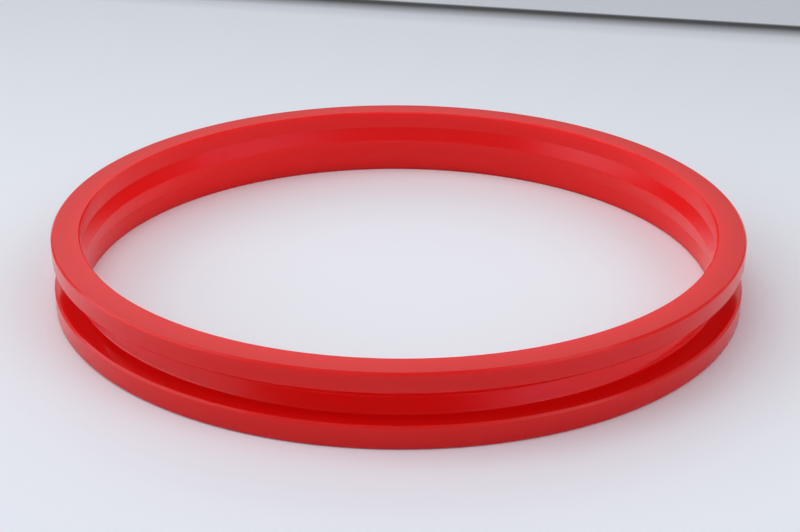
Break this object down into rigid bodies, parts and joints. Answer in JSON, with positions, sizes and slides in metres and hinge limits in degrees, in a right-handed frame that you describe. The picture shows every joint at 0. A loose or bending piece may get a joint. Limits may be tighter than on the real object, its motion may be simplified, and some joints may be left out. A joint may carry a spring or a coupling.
{
  "type": "u cup seal",
  "caption": "Large flat-lying U cup seal ring in red polyurethane, with an outward-opening groove between its flat lips and a thin web bent inwards as a low rib.",
  "frame": {"origin": "on the ring's axis, in the plane of its underside", "axes": "+Z along the ring's axis, up through the thinner upper lip; X and Y across the ring"},
  "size_m": [0.32, 0.32, 0.0336],
  "materials": {
    "red_polyurethane": "satin to glossy, slightly translucent at the edges"
  },
  "bodies": {
    "root": {"seal_ring": "red_polyurethane"}
  },
  "joints": []
}
